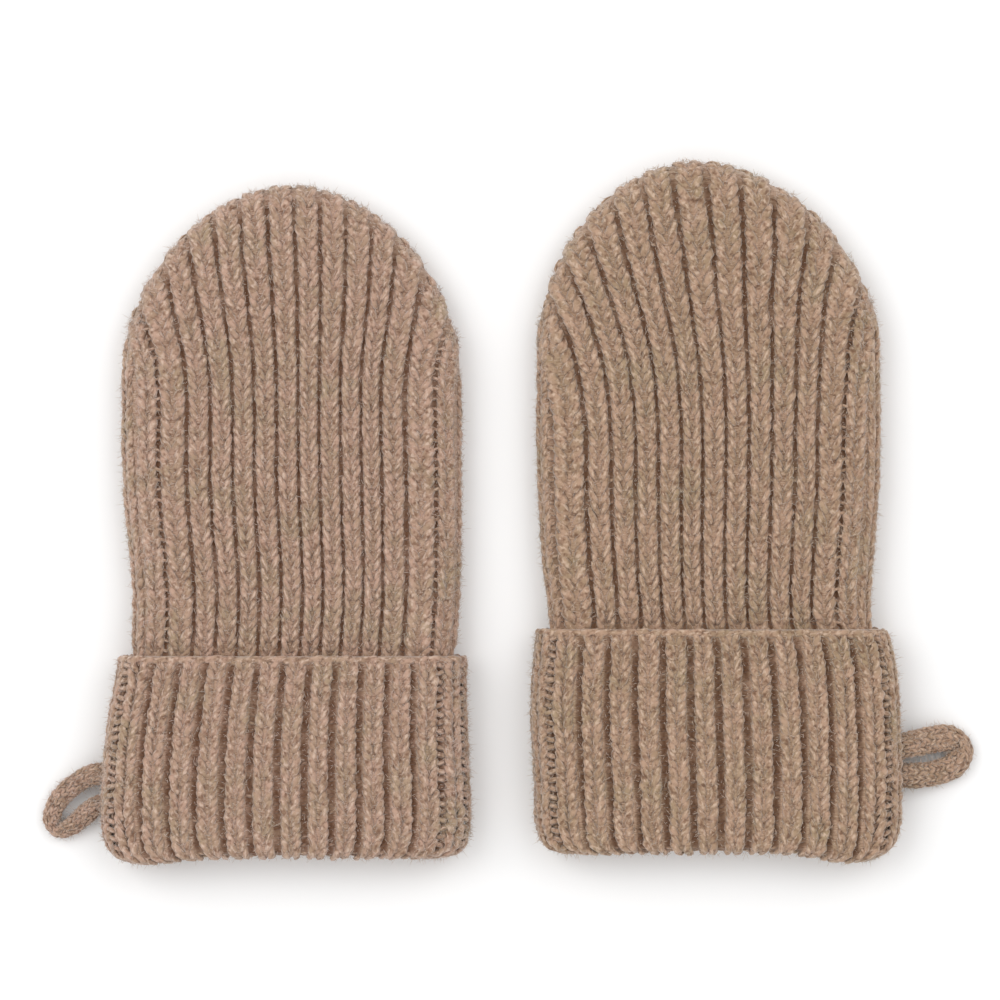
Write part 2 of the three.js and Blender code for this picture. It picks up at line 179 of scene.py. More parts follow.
def smooth_step(value, low, high):
    t = np.clip((value - low) / (high - low), 0, 1)
    return t * t * (3 - 2 * t)


def reach(mitten, x, y, depth):
    """1 on the outline of the hand, 0 in the middle of its dome."""
    up = np.maximum(y - mitten["dome_base"], 0) / (mitten["tip"] - mitten["dome_base"] - depth)
    middle = follow(mitten, MIDDLE, y) + mitten["tip_lean"] * up * up
    across = np.abs(x - middle) / (follow(mitten, HALF, y) - depth)
    return (across ** DOME_POWER + up ** DOME_POWER) ** (1 / DOME_POWER)


def outline(mitten, x, y, depth):
    """Inset from the outline of the hand, and the direction straight out of it."""
    step = 0.01
    gx = (reach(mitten, x + step, y, depth) - reach(mitten, x - step, y, depth)) / (2 * step)
    gy = (reach(mitten, x, y + step, depth) - reach(mitten, x, y - step, depth)) / (2 * step)
    length = np.maximum(np.hypot(gx, gy), 1e-9)
    steep = np.maximum(length, 1 / (2 * PANEL_ROLL))
    inset = (1 - reach(mitten, x, y, depth)) / steep
    return inset, gx / length, gy / length


def column_x(mitten, across, y):
    half = follow(mitten, HALF, y) / follow(mitten, HALF, mitten["dome_base"])
    offset = follow(mitten, SPREAD, y) * across * half + follow(mitten, LEAN, y)
    return follow(mitten, MIDDLE, y) + offset


def column_end(mitten, across, depth=0.0):
    """Height at which a column of stitches runs over the edge of the dome."""
    low = np.full(np.shape(across), mitten["dome_base"] - 12.0)
    high = np.full(np.shape(across), mitten["tip"] - depth)
    for _ in range(40):
        y = (low + high) / 2
        inside = reach(mitten, column_x(mitten, across, y), y, depth) < 1
        low = np.where(inside, y, low)
        high = np.where(inside, high, y)
    return (low + high) / 2


def distances(line):
    """Distance along a row of points, from the first."""
    return np.concatenate([[0], np.cumsum(np.linalg.norm(np.diff(line, axis=0), axis=1))])


def arcs_over_side(rise, drop, drop_run):
    """Distance around the side of a mitten, and the signed inset from its outline there."""
    inset = np.linspace(0, 14, 240)
    up = distances(np.stack([inset, rise * swell(inset)], axis=1))
    down = distances(np.stack([inset, drop * roll(inset, drop_run)], axis=1))
    return np.concatenate([-down[:0:-1], up]), np.concatenate([-inset[:0:-1], inset])


HAND_ARCS, HAND_INSETS = arcs_over_side(
    HAND_TOP - HAND_SIDE, HAND_SIDE - UNDER_KNIT, UNDER_ROLL
)
RIB_WIDTH = 4.7
PAST_EDGE = 2.5         # how far a rib of the upper panel runs on around the dome's edge
ON_PANEL = 1.5          # a rib further than this from the outline lies on its panel
HAND_TURN = 4.5         # how far below the outline ribs still follow the side
SIDE_ENDS = (12, 4)     # where they end above the dome's base, above and below the outline
SINK = 1.6              # how deep they sink there
SINK_RUN = 6


def lay(mitten, x, y, depth, lift, upper):
    """A point of the hand: lift above its grooves or depth inside them, on either panel.
    What lies past the outline is carried around the side to the other panel."""
    inset, out_x, out_y = outline(mitten, x, y, depth)
    upper = np.broadcast_to(upper, inset.shape)
    around = np.interp(np.where(upper, 1, -1) * inset, HAND_ARCS, HAND_INSETS)
    past = inset < 0
    back = np.where(past, -inset + np.abs(around), 0)
    x = x - out_x * back
    y = y - out_y * back
    upper = np.where(past, ~upper, upper)
    inset = np.where(past, np.abs(around), inset)
    edge = mitten["cuff_edge"]
    share = 1 - smooth_step(y, edge, edge + LIFT_RUN)
    free = smooth_step(y, edge + SEAM_GAP, edge + RISE_RUN)
    lift = lift * (HIDDEN_KNIT + (1 - HIDDEN_KNIT) * free)
    side = HAND_SIDE + (CUFF_SIDE - HAND_SIDE) * share
    top = HAND_TOP + (CUFF_TOP - LIFT - HAND_TOP) * share - depth
    floor = LIFT * share + UNDER_KNIT * (1 - share) + depth * 0.4
    level = np.maximum(1 - inset / np.where(upper, EDGE_ROLL, UNDER_ROLL), 0)
    tilt = np.sqrt(1 - level * level)
    over = side + (top - side) * swell(inset) + tilt * lift
    under = side + (floor - side) * roll(inset, UNDER_ROLL) - tilt * lift
    return np.stack([
        x + out_x * level * lift,
        y + out_y * level * lift,
        np.where(upper, over, under),
    ], -1)


def panel_column(mitten, low, high, upper, start):
    """One rib on a panel of the hand. Returns its place function, its length and half width."""
    centre = (low + high) / 2
    end = float(column_end(mitten, centre))
    ys = np.linspace(start, end, 300)
    line = lay(mitten, column_x(mitten, centre, ys), ys, 0.0, 0.0, upper)
    lengths = distances(line)
    half_width = (high - low) / 2

    def place(u, s, h):
        y = np.interp(s, lengths, ys) + np.maximum(s - lengths[-1], 0)
        return lay(mitten, column_x(mitten, centre + u, y), y, 0.0, h, upper)

    length = lengths[-1] + (PAST_EDGE if upper else -PAST_EDGE)
    return place, length, half_width


def side_column(mitten, side, centre_arc, start, end):
    """One rib around the side of the hand, at a distance from its outline."""
    def place(u, s, h):
        y = start + s
        h = h - SINK * smooth_step(s, end - start - SINK_RUN, end - start)
        inset = np.interp(centre_arc + u, HAND_ARCS, HAND_INSETS)
        up = np.maximum(y - mitten["dome_base"], 0) / (mitten["tip"] - mitten["dome_base"])
        width = (1 - np.clip(up, 0, 1) ** DOME_POWER) ** (1 / DOME_POWER)
        middle = follow(mitten, MIDDLE, y) + mitten["tip_lean"] * up * up
        x = middle + side * (follow(mitten, HALF, y) * width - np.abs(inset))
        return lay(mitten, x, y, 0.0, h, inset >= 0)

    return place, end - start, RIB_WIDTH / 2


def hand_columns(mitten, start):
    """All ribs around the hand: the upper panel's, up to the number shown, those that turn
    around the sides, up to the number turned, and the underside's."""
    half = float(follow(mitten, HALF, mitten["dome_base"]))
    grooves = mitten["grooves"]
    columns = [
        panel_column(mitten, low, high, True, start)
        for low, high in zip(grooves[:-1], grooves[1:])
    ]
    shown = len(columns)
    reach_under = []
    for side, groove in ((-1, grooves[0]), (1, grooves[-1])):
        arc = float(np.interp(half - abs(groove), HAND_INSETS, HAND_ARCS))
        while arc > -HAND_TURN:
            centre_arc = arc - RIB_WIDTH / 2
            inset = float(np.interp(centre_arc, HAND_ARCS, HAND_INSETS))
            if inset > ON_PANEL:
                edges = np.interp([arc, arc - RIB_WIDTH], HAND_ARCS, HAND_INSETS)
                low, high = sorted(side * (half - edges))
                columns.append(panel_column(mitten, low, high, True, start))
            else:
                end = mitten["dome_base"] + SIDE_ENDS[0 if inset > 0 else 1]
                columns.append(side_column(mitten, side, centre_arc, start, end))
            arc -= RIB_WIDTH
        inset = abs(float(np.interp(arc, HAND_ARCS, HAND_INSETS)))
        reach_under.append(side * (half - inset))
    turned = len(columns)
    low, high = reach_under
    count = round((high - low) / RIB_WIDTH)
    bounds = np.linspace(low, high, count + 1)
    for a, b in zip(bounds[:-1], bounds[1:]):
        columns.append(panel_column(mitten, float(a), float(b), False, start))
    return columns, shown, turned


UNEVEN = 0.09           # lumps of the yarn, as a share of its thickness
# Yarn is painted darker, as shade, the lower it lies in the knitting: fully at DARK_LEVEL, not
# at all at LIGHT_LEVEL
DARK_LEVEL = -0.15      # height in the knitting at which the painted shade is full
LIGHT_LEVEL = 0.60
SIDE_LIGHT = 0.75       # how much the painted shade lifts where the yarn faces sideways


def unit(vectors):
    return vectors / np.maximum(np.linalg.norm(vectors, axis=-1, keepdims=True), 1e-9)


def tubes(centres, normals, half_widths, half_heights, sides, heights, chance):
    """Closed tubes with rounded ends along rows of points. Returns points, quads, triangles,
    their coordinates along and around the yarn, and the shade painted on each point: more
    the lower it lies in the knitting, less where it faces sideways."""
    count, steps = centres.shape[:2]
    along = unit(np.gradient(centres, axis=1))
    across = unit(np.cross(along, normals))
    up = np.cross(across, along)
    turn = np.arange(sides) * 2 * math.pi / sides
    lumps = 1 + UNEVEN * chance.normal(0, 1, (count, steps, sides))
    rings = (
        centres[:, :, None, :]
        + across[:, :, None, :] * (half_widths[..., None] * lumps * np.cos(turn))[..., None]
        + up[:, :, None, :] * (half_heights[..., None] * lumps * np.sin(turn))[..., None]
    )
    point = 0.7 * half_widths if steps > 2 else 0.5 * np.linalg.norm(
        centres[:, 1:] - centres[:, :1], axis=-1
    )
    tips = np.stack([
        centres[:, 0] - along[:, 0] * point[:, :1],
        centres[:, -1] + along[:, -1] * point[:, -1:],
    ], 1)
    points = np.concatenate([rings.reshape(count, steps * sides, 3), tips], axis=1)
    size = steps * sides + 2
    ring, spoke = np.meshgrid(np.arange(steps - 1), np.arange(sides), indexing="ij")
    after = (spoke + 1) % sides
    quads = np.stack([
        ring * sides + spoke, ring * sides + after,
        (ring + 1) * sides + after, (ring + 1) * sides + spoke,
    ], -1).reshape(-1, 4)
    j = np.arange(sides)
    first, last = steps * sides, steps * sides + 1
    base = (steps - 1) * sides
    caps = np.concatenate([
        np.stack([np.full(sides, first), (j + 1) % sides, j], axis=-1),
        np.stack([np.full(sides, last), base + j, base + (j + 1) % sides], axis=-1),
    ])
    lengths = np.concatenate([
        np.zeros((count, 1)),
        np.cumsum(np.linalg.norm(np.diff(centres, axis=1), axis=-1), axis=1),
    ], 1) + chance.uniform(0, 400, (count, 1))
    quad_u = np.stack([ring, ring, ring + 1, ring + 1], axis=-1).reshape(-1, 4)
    quad_v = np.stack([spoke, spoke + 1, spoke + 1, spoke], axis=-1).reshape(-1, 4) / sides
    quad_v = np.broadcast_to(quad_v, (count, *quad_v.shape))
    quad_uv = np.stack([lengths[:, quad_u], quad_v], -1)
    cap_v = np.concatenate([
        np.stack([j + 0.5, j + 1, j], axis=-1), np.stack([j + 0.5, j, j + 1], axis=-1)
    ]) / sides
    cap_u = np.concatenate([
        np.broadcast_to(lengths[:, k][:, None, None], (count, sides, 3)) for k in (0, -1)
    ], 1)
    cap_uv = np.stack([cap_u, np.broadcast_to(cap_v, (count, *cap_v.shape))], -1)
    # Painted shade: darker the lower the yarn lies, lighter where it faces sideways
    facing = SIDE_LIGHT * (1 - np.abs(normals[..., 2]))
    level = (heights + facing)[:, :, None] + half_heights[..., None] * np.sin(turn)
    level = np.concatenate([level.reshape(count, -1), heights[:, :1], heights[:, -1:]], axis=1)
    offsets = (np.arange(count) * size)[:, None, None]
    return (
        points.reshape(-1, 3), (quads[None] + offsets).reshape(-1, 4),
        (caps[None] + offsets).reshape(-1, 3), quad_uv.reshape(-1, 2), cap_uv.reshape(-1, 2),
        (1 - smooth_step(level, DARK_LEVEL, LIGHT_LEVEL)).ravel(),
    )


def lie_of(place, u, s, h):
    """Directions straight out of the cloth at places of a rib, and how far the rib spreads."""
    step = 0.05
    a = place(u + step, s, h) - place(u - step, s, h)
    b = place(u, s + step, h) - place(u, s - step, h)
    out = place(u, s, h + step) - place(u, s, h)
    n = unit(np.cross(a, b))
    n *= np.sign(np.sum(n * out, axis=-1, keepdims=True) + 1e-12)
    return n, np.clip(np.linalg.norm(a, axis=-1) / (2 * step), 0.8, 1.5)


# Legs of a stitch from its point to its tip: place across the rib, along it in rows, height
# above the grooves, half width and half thickness. Across and half width are shares of half
# a rib.
HAND_LEG = np.array([
    (0.11, -0.72, 0.04, 0.16, 0.30),
    (0.28, -0.40, 0.54, 0.26, 0.44),
    (0.46, 0.00, 0.72, 0.28, 0.48),
    (0.61, 0.42, 0.60, 0.26, 0.44),
    (0.67, 0.88, 0.14, 0.20, 0.32),
])


WIDER = np.array([1.0, 1.0, 0.85, 1.3, 1.0])    # legs of the ribs around the sides and below


def stitch_legs(column, pitch, leg, chance, sides, down=False, first=0.0, shade=0.0):
    """The two legs of every row of one rib, as tubes. With few sides they have fewer points.
    Shade lifts the level below which the yarn is painted darker as shade, by a number or by a
    function of the place."""
    if sides < 5:
        leg = leg[[0, 1, 3, 4]]
    place, length, half_width = column
    rows = np.arange(first + pitch * 0.5, length, pitch)
    parts = []
    for way in (-1, 1):
        wobble = chance.normal(0, 1, (6, len(rows), 1))
        u = way * leg[:, 0] * half_width + wobble[0] * 0.1
        along = (-leg[:, 1] if down else leg[:, 1]) * pitch * (1 + 0.08 * wobble[1])
        s = rows[:, None] + along + wobble[2] * 0.12
        h = leg[:, 2] + wobble[3] * 0.07
        out, spread = lie_of(place, u, s, h)
        wide = leg[:, 3] * half_width * spread * (1 + 0.09 * wobble[4])
        thick = leg[:, 4] * (1 + 0.08 * wobble[5])
        level = h + (shade(u, s) if callable(shade) else shade)
        parts.append(tubes(place(u, s, h), out, wide, thick, sides, level, chance))
    return parts


BAR = 0.38              # half the thickness of a purl bar
SIDE_BAR = 0.6          # and of one in a groove at a cuff's side


def purl_bars(column, side, pitch, chance, reach_in, rise, half_thick=BAR):
    """The bars of the purl column deep in the groove beside a rib, one to a row."""
    place, length, half_width = column
    rows = np.arange(pitch, length - 1, pitch)
    wobble = chance.normal(0, 1, (3, len(rows), 1))
    u = side * half_width + np.array([-reach_in, 0.0, reach_in]) + wobble[0] * 0.05
    s = rows[:, None] + np.array([-0.2, 0.0, 0.2]) * np.sign(wobble[1]) + wobble[1] * 0.1
    h = rise + np.array([-0.10, 0.02, -0.10]) + wobble[2] * 0.04
    out, _ = lie_of(place, u, s, h)
    thick = np.full(u.shape, half_thick)
    # Painted shade: the bars count as low in the knitting, so they are painted dark
    level = h - 0.36 + 0.12 * wobble[2]
    return [tubes(place(u, s, h), out, thick, thick, 5, level, chance)]


def joined(parts):
    """One set of points, faces, coordinates and painted shade from many tubes."""
    starts = np.cumsum([0] + [len(part[0]) for part in parts])
    points, quads, caps, quad_uv, cap_uv, deep = zip(*parts)
    quads = np.concatenate([faces + first for faces, first in zip(quads, starts)])
    caps = np.concatenate([faces + first for faces, first in zip(caps, starts)])
    uv = np.concatenate(quad_uv + cap_uv)
    return np.concatenate(points), quads, caps, uv, np.concatenate(deep)


def to_row(points):
    """Millimetres of the mitten's tables to metres of the model."""
    return (points + np.array([*MIDDLE_SHIFT, 0.0])) / 1000


def make_piece(name, points, quads, triangles, uv, deep, material):
    """A smooth mesh of quads and triangles, pressed flat where it lies on the table. Deep is the
    shade painted on each point, kept in an attribute that the wool reads.
    """
    points = points.copy()
    points[:, 2] = np.maximum(points[:, 2], ON_TABLE)
    mesh = bpy.data.meshes.new(name)
    mesh.vertices.add(len(points))
    mesh.vertices.foreach_set("co", to_row(points).astype(np.float32).ravel())
    corners = np.concatenate([quads.ravel(), triangles.ravel()]).astype(np.int32)
    starts = np.concatenate([
        np.arange(len(quads)) * 4, len(quads) * 4 + np.arange(len(triangles)) * 3
    ]).astype(np.int32)
    mesh.loops.add(len(corners))
    mesh.loops.foreach_set("vertex_index", corners)
    mesh.polygons.add(len(starts))
    mesh.polygons.foreach_set("loop_start", starts)
    mesh.update(calc_edges=True)
    mesh.polygons.foreach_set("use_smooth", np.ones(len(starts), dtype=bool))
    layer = mesh.uv_layers.new(name="yarn")
    layer.data.foreach_set("uv", uv.astype(np.float32).ravel())
    # the painted shade of each point, which darkens the wool
    depth = mesh.attributes.new("deep", "FLOAT", "POINT")
    depth.data.foreach_set("value", deep.astype(np.float32))
    mesh.validate()
    mesh.materials.append(material)
    piece = bpy.data.objects.new(name, mesh)
    bpy.context.collection.objects.link(piece)
    return piece


def add_socket(group, name, kind, out=False):
    return group.interface.new_socket(
        name=name, in_out="OUTPUT" if out else "INPUT", socket_type=kind
    )


def add_node(tree, kind, **values):
    """A node of a shader, with values in its sockets."""
    node = tree.nodes.new("ShaderNode" + kind)
    for socket, value in values.items():
        node.inputs[socket.replace("_", " ")].default_value = value
    return node


# Mottled wool: fibres of four shades carded together, so that the colour drifts along the
# yarn from rose beige through oatmeal to grey green, with single darker hairs. The group
# also paints shade: deep in the knitting it turns the colour to a dark groove tone.
mottle_and_shade = bpy.data.node_groups.new("mottled_wool_and_shade", "ShaderNodeTree")
TONES = ("Oatmeal", "Rose", "Moss", "Brown", "Pale", "GrooveShade")
for socket in TONES:
    add_socket(mottle_and_shade, socket, "NodeSocketColor")
add_socket(mottle_and_shade, "Depth", "NodeSocketFloat")
add_socket(mottle_and_shade, "Color", "NodeSocketColor", out=True)
link = mottle_and_shade.links.new
mottle_in = mottle_and_shade.nodes.new("NodeGroupInput")
mottle_out = mottle_and_shade.nodes.new("NodeGroupOutput")
where = add_node(mottle_and_shade, "TexCoord")
on_yarn = add_node(mottle_and_shade, "UVMap")
on_yarn.uv_map = "yarn"


def noise_share(scale, low, high, most=1.0, squash=None, least=0.0):
    """A share between least and most that drifts over the surface, or along the yarn."""
    stretch = add_node(mottle_and_shade, "Mapping")
    noise = add_node(mottle_and_shade, "TexNoise", Scale=scale, Detail=2.5)
    ramp = add_node(
        mottle_and_shade, "MapRange", From_Min=low, From_Max=high, To_Min=least, To_Max=most
    )
    if squash:
        stretch.inputs["Scale"].default_value = squash
        link(on_yarn.outputs["UV"], stretch.inputs["Vector"])
    else:
        link(where.outputs["Object"], stretch.inputs["Vector"])
    link(stretch.outputs["Vector"], noise.inputs["Vector"])
    link(noise.outputs["Fac"], ramp.inputs["Value"])
    return ramp.outputs["Result"]


def blend(share, a, b):
    mix = add_node(mottle_and_shade, "Mix")
    mix.data_type = "RGBA"
    link(share, mix.inputs["Factor"])
    link(a, mix.inputs["A"])
    link(b, mix.inputs["B"])
    return mix.outputs["Result"]


tone = mottle_in.outputs["Oatmeal"]
for socket, drift in (
    ("Rose", (420, 0.40, 0.60)), ("Moss", (130, 0.50, 0.70, 0.6)),
    ("Brown", (900, 0.50, 0.70, 0.9)), ("Brown", (1.0, 0.52, 0.68, 0.7, (0.7, 5, 1))),
    ("Pale", (1.0, 0.52, 0.66, 0.8, (0.9, 6, 1))),
):
    tone = blend(noise_share(*drift), tone, mottle_in.outputs[socket])
# Painted shade: the depth each point carries, broken up by noise, blends the colour to the dark
# groove tone
shadow = add_node(mottle_and_shade, "Math")
shadow.operation = "MULTIPLY"
link(mottle_in.outputs["Depth"], shadow.inputs[0])
link(noise_share(330, 0.36, 0.56, 1.0, None, 0.62), shadow.inputs[1])
tone = blend(shadow.outputs["Value"], tone, mottle_in.outputs["GrooveShade"])
link(tone, mottle_out.inputs["Color"])

# Spun yarn: loose plies twisted together, each a bundle of fibres that lie along it
twist = bpy.data.node_groups.new("spun_yarn", "ShaderNodeTree")
add_socket(twist, "Height", "NodeSocketFloat", out=True)
twist_out = twist.nodes.new("NodeGroupOutput")
along_yarn = add_node(twist, "UVMap")
along_yarn.uv_map = "yarn"
lie = add_node(twist, "Mapping", Scale=(1.3, 5.0, 1.0), Rotation=(0, 0, 0.35))
strands = add_node(twist, "TexNoise", Scale=1.0, Detail=3)
fibres_at = add_node(twist, "TexCoord")
fibres = add_node(twist, "TexNoise", Scale=2600, Detail=2)
both = add_node(twist, "Math")
both.operation = "MULTIPLY_ADD"
both.inputs[1].default_value = 1.3
twist.links.new(along_yarn.outputs["UV"], lie.inputs["Vector"])
twist.links.new(lie.outputs["Vector"], strands.inputs["Vector"])
twist.links.new(fibres_at.outputs["Object"], fibres.inputs["Vector"])
twist.links.new(strands.outputs["Fac"], both.inputs[0])
twist.links.new(fibres.outputs["Fac"], both.inputs[2])
twist.links.new(both.outputs["Value"], twist_out.inputs["Height"])


def srgb(r, g, b):
    """A colour as a screen shows it, 0 to 255, as linear light."""
    values = [v / 255 for v in (r, g, b)]
    return (*[v / 12.92 if v < 0.04045 else ((v + 0.055) / 1.055) ** 2.4 for v in values], 1)


def dyed(name, tones):
    """A material in the colours of mottled wool, with its shader and its colour node."""
    material = bpy.data.materials.new(name)
    material.use_nodes = True
    tree = material.node_tree
    surface = tree.nodes["Principled BSDF"]
    colour = add_node(tree, "Group")
    colour.node_tree = mottle_and_shade
    for socket, value in zip(TONES, tones):
        colour.inputs[socket].default_value = srgb(*value)
    tree.links.new(colour.outputs["Color"], surface.inputs["Base Color"])
    return material, surface, colour


def wool(name, tones):
    """Mottled wool with a soft bloom and the twist of the yarn, with shade painted on it deep in
    the knitting.
    """
    material, surface, colour = dyed(name, tones)
    tree = material.node_tree
    # the shade painted on each point, which turns the colour darker
    depth = add_node(tree, "Attribute")
    depth.attribute_name = "deep"
    tree.links.new(depth.outputs["Fac"], colour.inputs["Depth"])
    yarn = add_node(tree, "Group")
    yarn.node_tree = twist
    relief = add_node(tree, "Bump", Strength=0.5, Distance=0.0002)
    tree.links.new(yarn.outputs["Height"], relief.inputs["Height"])
    tree.links.new(relief.outputs["Normal"], surface.inputs["Normal"])
    surface.inputs["Roughness"].default_value = 0.95
    surface.inputs["Specular IOR Level"].default_value = 0.15
    surface.inputs["Sheen Weight"].default_value = 0.4
    surface.inputs["Sheen Roughness"].default_value = 0.6
    surface.inputs["Sheen Tint"].default_value = (1.0, 0.95, 0.9, 1)
    return material


# The last tone is no yarn colour but the painted shade deep in the knitting
left_wool = wool(
    "left_wool", (
        (160, 131, 109), (179, 146, 127), (156, 137, 109), (111, 78, 57),
        (201, 176, 158), (96, 61, 38),
    ),
)


WALL_RIB = 0.55         # how far the wall itself rises behind the legs of a rib
GROOVE_FADE = 0.7       # how much shallower the grooves are at the outline
HAND_WALL = 1.4
NO_CAPS = np.zeros((0, 3), dtype=int)


def rib_relief(grooves, half, narrow, middle):
    """Places across a panel, and the share of the wall's relief there: 0 in each groove.
    A groove's slopes are narrow times the width of a rib, whose middle rises to middle."""
    bounds = [-half, *grooves, half]
    across, rise = [], []
    for low, high in zip(bounds[:-1], bounds[1:]):
        for share, up in (
            (0.0, 0.0), (narrow, 0.25), (2 * narrow, 0.9), (0.5, middle), (1 - 2 * narrow, 0.9),
            (1 - narrow, 0.25),
        ):
            across.append(low + share * (high - low))
            rise.append(up)
    rise[:3] = [0.6, 0.8, 1.0]
    return np.array([*across, half]), np.array([*rise, 0.6])


def hand_cloth(name, mitten, material):
    """The wall of the hand under its stitches: an open pocket with a closed dome."""
    half = float(follow(mitten, HALF, mitten["dome_base"]))
    mouth = mitten["fold_end"] + LEG + SEAM_GAP
    rows = 50
    across, rise = rib_relief(mitten["grooves"], half, 0.085, 0.85)
    columns = len(across) - 1
    shades = []

    def panel(depth, upper):
        scaled = across * (half - depth) / half
        ends = column_end(mitten, scaled, depth)
        ends[0] = ends[-1] = min(ends[0], ends[-1], ends[1], ends[-2])
        share = np.linspace(0, 1, rows + 1)
        share = 1 - (1 - share) ** 1.5
        y = mouth + (ends[:, None] - mouth) * share[None]
        x = column_x(mitten, scaled[:, None], y)
        edge_x = follow(mitten, MIDDLE, y) + np.sign(across)[:, None] * (
            follow(mitten, HALF, y) - depth
        )
        x[0], x[-1] = edge_x[0], edge_x[-1]
        fade = GROOVE_FADE * (1 - smooth_step(outline(mitten, x, y, depth)[0], 0.5, 5))
        height = rise[:, None] * (1 - fade) + fade
        # Painted shade on the wall: darker in the grooves, less near the outline
        shades.append((1 - height).ravel())
        return lay(mitten, x, y, depth, WALL_RIB * height * (depth == 0), upper)

    sheets = [panel(depth, upper) for depth in (0.0, HAND_WALL) for upper in (True, False)]
    step = rows + 1
    size = (columns + 1) * step
    points = np.concatenate([sheet.reshape(-1, 3) for sheet in sheets])
    i, k = np.meshgrid(np.arange(columns), np.arange(rows), indexing="ij")
    cell = np.stack([
        i * step + k, (i + 1) * step + k, (i + 1) * step + k + 1, i * step + k + 1
    ], -1).reshape(-1, 4)
    quads = [cell, cell[:, ::-1] + size, cell[:, ::-1] + 2 * size, cell + 3 * size]
    a = np.arange(columns) * step
    b, inside = a + step, 2 * size
    quads += [
        np.stack([a, a + inside, b + inside, b], -1),
        np.stack([a, b, b + inside, a + inside], -1) + size,
    ]
    # The two panels of each face share their sides and their dome edge
    own = np.arange(len(points))
    for face in (0, 2):
        a = (face * size + np.arange(size)).reshape(columns + 1, step)
        b = ((face + 1) * size + np.arange(size)).reshape(columns + 1, step)
        own[b[0]] = a[0]
        own[b[-1]] = a[-1]
        own[b[:, -1]] = a[:, -1]
    quads = own[np.concatenate(quads)]
    uv = points[quads.ravel()][:, :2]
    return make_piece(name, points, quads, NO_CAPS, uv, np.concatenate(shades), material)


left_hand = hand_cloth("left_hand_cloth", LEFT, left_wool)
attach(left_hand, "root")
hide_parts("left_hand")


def hand_stitches(name, mitten, material):
    """Every stitch of the hand from just under the cuff's edge to the fingertips."""
    chance = np.random.default_rng(mitten["seed"])
    start = mitten["cuff_edge"] - 3
    columns, shown, turned = hand_columns(mitten, start)
    parts = []
    for i, column in enumerate(columns):
        leg = HAND_LEG if i < shown else HAND_LEG * WIDER
        sides = 6 if i < shown else 5 if i < turned else 4
        parts += stitch_legs(column, mitten["hand_row"], leg, chance, sides)
    for column in columns[:shown - 1]:
        parts += purl_bars(column, 1, mitten["hand_row"], chance, 0.5, 0.0)
    for column, side in ((columns[0], -1), (columns[shown - 1], 1)):
        parts += purl_bars(column, side, mitten["hand_row"], chance, 0.6, 0.4)
    return make_piece(name, *joined(parts), material)


left_hand_stitches = hand_stitches("left_hand_stitches", LEFT, left_wool)


def fibres_on(name, columns, shown, turned, count, seed, material, height, ends=0.0):
    """Loose fibres over the knitting, each a fine spindle. On the upper panel most are short
    and lie along the surface, and around the sides and the dome's edge they stand off it. A
    share of them is kept for the ends of the ribs."""
    chance = np.random.default_rng(seed)
    weights = np.array([
        length * half * (1.0 if i < shown else 2.5 if i < turned else 0.15)
        for i, (_, length, half) in enumerate(columns)
    ])
    picks = chance.choice(len(columns), count, p=weights / weights.sum())
    parts = []
    for i, (place, length, half_width) in enumerate(columns):
        n = int((picks == i).sum())
        if n == 0:
            continue
        u = chance.uniform(-1, 1, (n, 1)) * half_width
        s = chance.uniform(0.01, 0.99, (n, 1)) * length
        at_end = chance.random((n, 1)) < ends
        s = np.where(at_end, length - 4.5 * chance.random((n, 1)), s)
        h = height - 0.25 * (u / half_width) ** 2 + chance.normal(0, 0.06, (n, 1))
        out, _ = lie_of(place, u, s, h)
        edge = (1 - np.abs(out[..., 2:]))
        lean = chance.normal(0, 1, (n, 1, 3))
        lean = unit(lean - out * np.sum(lean * out, axis=-1, keepdims=True))
        stand = chance.beta(1.2, 3.0, (n, 1, 1)) * (1 - edge)
        stand += chance.beta(2, 2, (n, 1, 1)) * edge
        hair = chance.gamma(3.0, 0.33, (n, 1, 1)).clip(0.4, 2.2) * (1 + 0.5 * edge)
        way = lean * (1 - stand) + out * stand
        t = np.array([0.1, 0.6])[None, :, None]
        path = place(u, s, h) + hair * way * t
        thick = np.array([0.045, 0.032]) * np.ones((n, 1))
        out = np.repeat(out, 2, axis=1)
        parts.append(tubes(path, out, thick, thick, 3, thick + 1, chance))
    return make_piece(name, *joined(parts), material)


def bloom(name, tones):
    """Pale loose wool fibres."""
    material, surface, _ = dyed(name, tones)
    surface.inputs["Roughness"].default_value = 1.0
    surface.inputs["Specular IOR Level"].default_value = 0.1
    surface.inputs["Sheen Weight"].default_value = 0.3
    return material


left_bloom = bloom(
    "left_bloom", (
        (206, 192, 180), (214, 196, 186), (196, 190, 176), (170, 150, 134),
        (220, 206, 196),
    ),
)
left_hand_fuzz = fibres_on(
    "left_hand_fuzz", *hand_columns(LEFT, LEFT["cuff_edge"]), 9100, LEFT["seed"] + 1,
    left_bloom, 0.95, ends=0.14,
)
for piece in (left_hand_stitches, left_hand_fuzz):
    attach(piece, "root")


# The left cuff: the last 4 cm of the same tube folded up over the hand, so that its stitches
# hang upside down. Its ribs are wider, and a cast-off edge of chain stitches ends it.
CUFF_REACH = 4.5        # how much narrower the cuff is at the fold
CORNER_RUN = 8
FOLD_DEPTH = 2.6
STITCH = 1.25           # height of a stitch above the grooves
INNER = 2 * CLOTH + CUFF_SLACK
SAG_RUN = 8
SAG_FROM = 32           # how far below the cuff's edge the fold starts to dip
CUFF_TURN = 6           # how far below the outline ribs still follow the side
CUFF_UNDER_ROLL = UNDER_ROLL + CUFF_SIDE - HAND_SIDE

